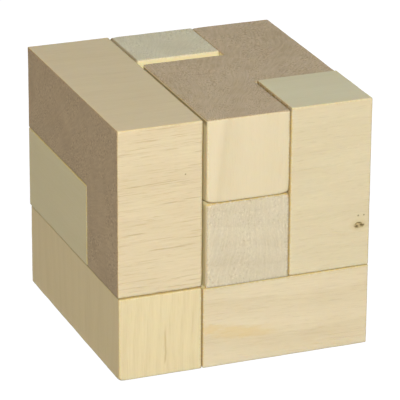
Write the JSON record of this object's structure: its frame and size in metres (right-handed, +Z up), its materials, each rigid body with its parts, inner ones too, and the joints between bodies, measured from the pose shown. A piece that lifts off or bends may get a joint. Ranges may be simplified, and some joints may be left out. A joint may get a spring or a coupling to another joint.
{
  "type": "wooden assembly cube puzzle",
  "caption": "Wooden assembly puzzle whose loose polycube pieces, sawn and glued from pale hardwood, pack into one solid cube.",
  "frame": {"origin": "on the table under the middle of the packed cube", "axes": "+X to the right along the front face, +Y from the front face to the back, +Z up"},
  "size_m": [0.0612, 0.0616, 0.0602],
  "materials": {
    "t_slice_wood": "sanded bare hardwood, satin",
    "l_slice_wood": "sanded bare hardwood, satin",
    "z_slice_wood": "sanded bare hardwood, satin",
    "v_slice_wood": "sanded bare hardwood, satin",
    "front_screw_deep_bar_wood": "sanded bare hardwood, satin",
    "front_screw_wide_bar_wood": "sanded bare hardwood, satin",
    "back_screw_low_bar_wood": "sanded bare hardwood, satin",
    "back_screw_tall_bar_wood": "sanded bare hardwood, satin",
    "tripod_slice_wood": "sanded bare hardwood, satin",
    "tripod_cube_wood": "sanded bare hardwood, satin"
  },
  "bodies": {
    "t_piece": {"t_slice": "t_slice_wood"},
    "l_piece": {"l_slice": "l_slice_wood"},
    "z_piece": {"z_slice": "z_slice_wood"},
    "v_piece": {"v_slice": "v_slice_wood"},
    "front_screw_piece": {"front_screw_deep_bar": "front_screw_deep_bar_wood", "front_screw_wide_bar": "front_screw_wide_bar_wood"},
    "back_screw_piece": {"back_screw_low_bar": "back_screw_low_bar_wood", "back_screw_tall_bar": "back_screw_tall_bar_wood"},
    "tripod_piece": {"tripod_slice": "tripod_slice_wood", "tripod_cube": "tripod_cube_wood"}
  },
  "joints": [
    {"name": "l_piece_slide", "type": "slide", "parent": "t_piece", "child": "l_piece", "axis": [-1, 0, 0], "range_m": [0, 0.03]},
    {"name": "z_piece_lift", "type": "slide", "parent": "t_piece", "child": "z_piece", "axis": [0, 0, 1], "range_m": [0, 0.03]},
    {"name": "v_piece_slide", "type": "slide", "parent": "t_piece", "child": "v_piece", "axis": [1, 0, 0], "range_m": [0, 0.03]},
    {"name": "front_screw_slide", "type": "slide", "parent": "t_piece", "child": "front_screw_piece", "axis": [0, -1, 0], "range_m": [0, 0.05]},
    {"name": "back_screw_slide", "type": "slide", "parent": "t_piece", "child": "back_screw_piece", "axis": [0, 1, 0], "range_m": [0, 0.05]},
    {"name": "tripod_slide", "type": "slide", "parent": "t_piece", "child": "tripod_piece", "axis": [1, 0, 0], "range_m": [0, 0.05]}
  ]
}
